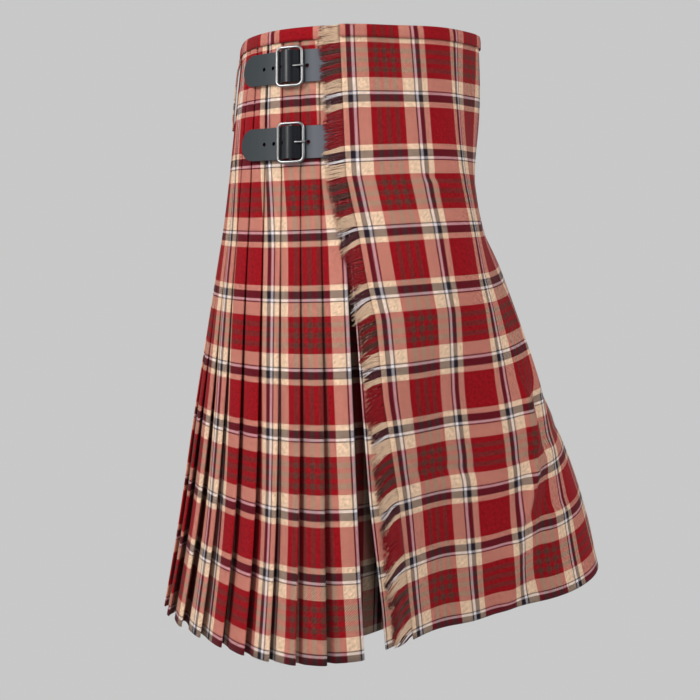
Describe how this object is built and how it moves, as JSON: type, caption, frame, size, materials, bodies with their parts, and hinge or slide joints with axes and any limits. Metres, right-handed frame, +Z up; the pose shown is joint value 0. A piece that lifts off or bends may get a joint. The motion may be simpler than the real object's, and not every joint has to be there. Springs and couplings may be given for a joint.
{
  "type": "scottish kilt",
  "caption": "Hollow worn wrap kilt of checked wool: knife pleats, flat overlapping front apron with a fringed edge, waistband, belt loops and leather hip straps with buckles.",
  "frame": {"origin": "centre of the waist opening, level with the top edge of the waistband, where the wearer's waist holds the kilt", "axes": "+Z up, -Y towards the front apron, -X towards the wearer's right hip with the buckles"},
  "size_m": [0.4638, 0.4187, 0.6061],
  "materials": {
    "checked_cloth": "wool check in crimson, cream, black, white and dark green, woven in twill",
    "fringe_yarn": "brushed wool threads",
    "strap_leather": "black leather with a low sheen",
    "buckle_steel": "nickel plated steel, softly polished"
  },
  "bodies": {
    "root": {"pleated_skirt": "checked_cloth", "over_apron": "checked_cloth", "apron_facing": "checked_cloth", "under_apron": "checked_cloth", "waistband": "checked_cloth", "apron_fringe": "fringe_yarn", "belt_loop_right": "checked_cloth", "belt_loop_left": "checked_cloth", "strap_upper": "strap_leather", "strap_lower": "strap_leather", "buckle_tab_upper": "strap_leather", "buckle_tab_lower": "strap_leather", "buckle_frame_upper": "buckle_steel", "buckle_frame_lower": "buckle_steel", "buckle_prong_upper": "buckle_steel", "buckle_prong_lower": "buckle_steel"}
  },
  "joints": []
}
